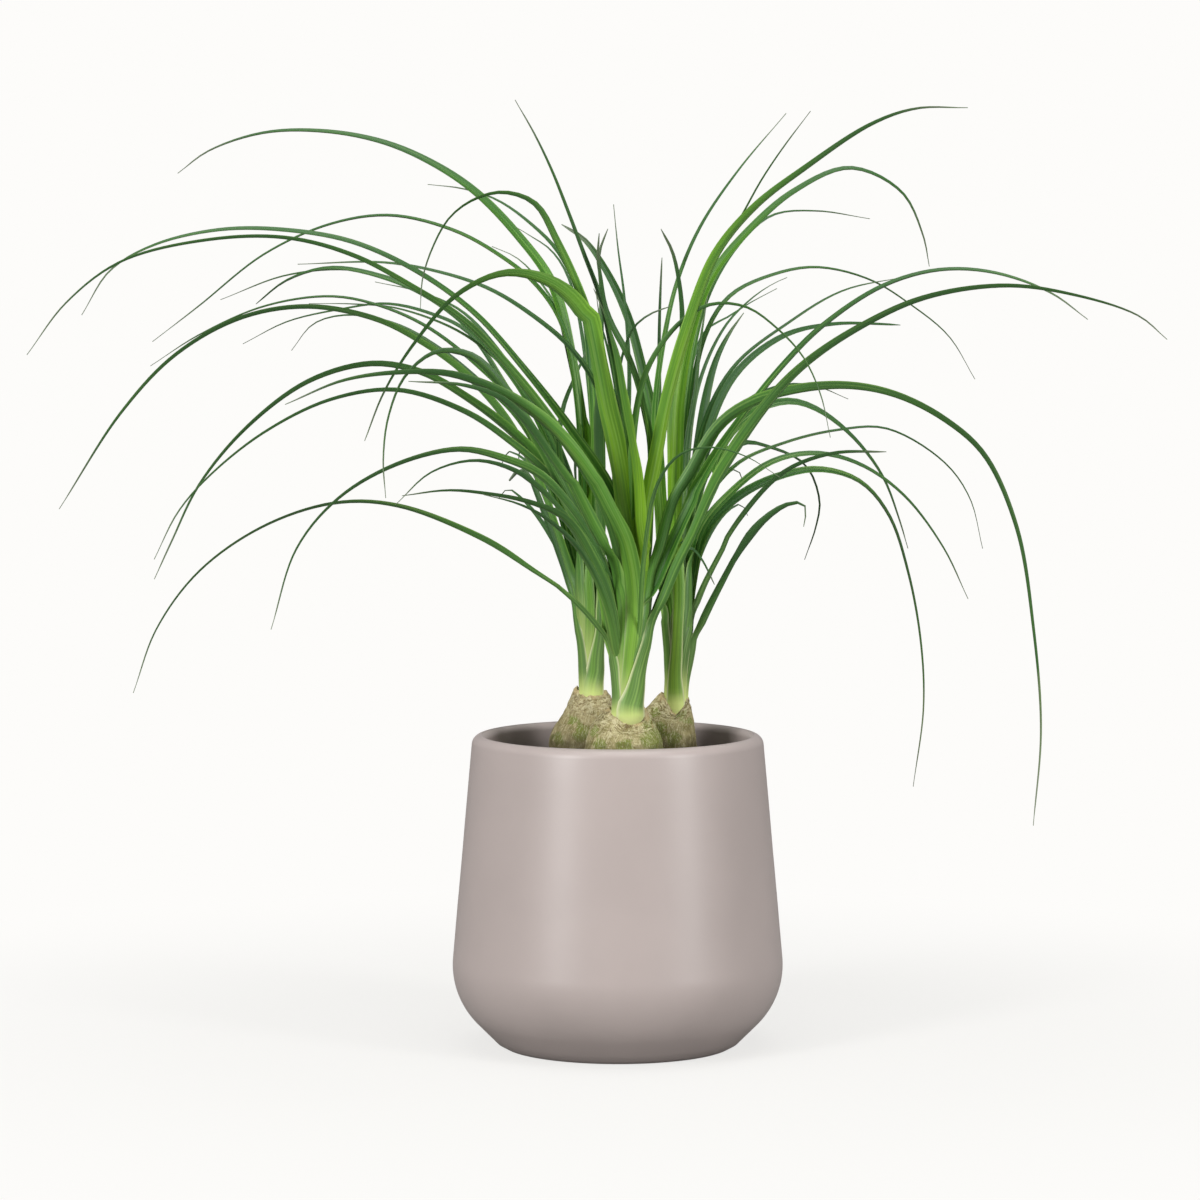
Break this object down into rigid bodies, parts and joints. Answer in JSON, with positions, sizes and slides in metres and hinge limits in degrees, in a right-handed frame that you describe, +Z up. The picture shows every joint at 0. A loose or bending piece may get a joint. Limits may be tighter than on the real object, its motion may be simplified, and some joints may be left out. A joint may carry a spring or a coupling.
{
  "type": "potted ponytail palm",
  "caption": "Young ponytail palms with swollen woody bases and long arching strap leaves, planted together in a plain matte round pot with a bevelled foot.",
  "frame": {"origin": "centre of the flat underside of the pot, on the surface it stands on", "axes": "+Z up along the pot's axis, -Y towards the viewer of the picture, +X to the viewer's right"},
  "size_m": [0.4929, 0.365, 0.4297],
  "materials": {
    "pot": "matte",
    "soil": "matte",
    "bark": "matte",
    "leaf": "satin"
  },
  "bodies": {
    "root": {"pot": "pot", "soil": "soil", "bulb_front": "bark", "bulb_left": "bark", "bulb_right": "bark", "leaves_front": "leaf", "leaves_left": "leaf", "leaves_right": "leaf"}
  },
  "joints": []
}
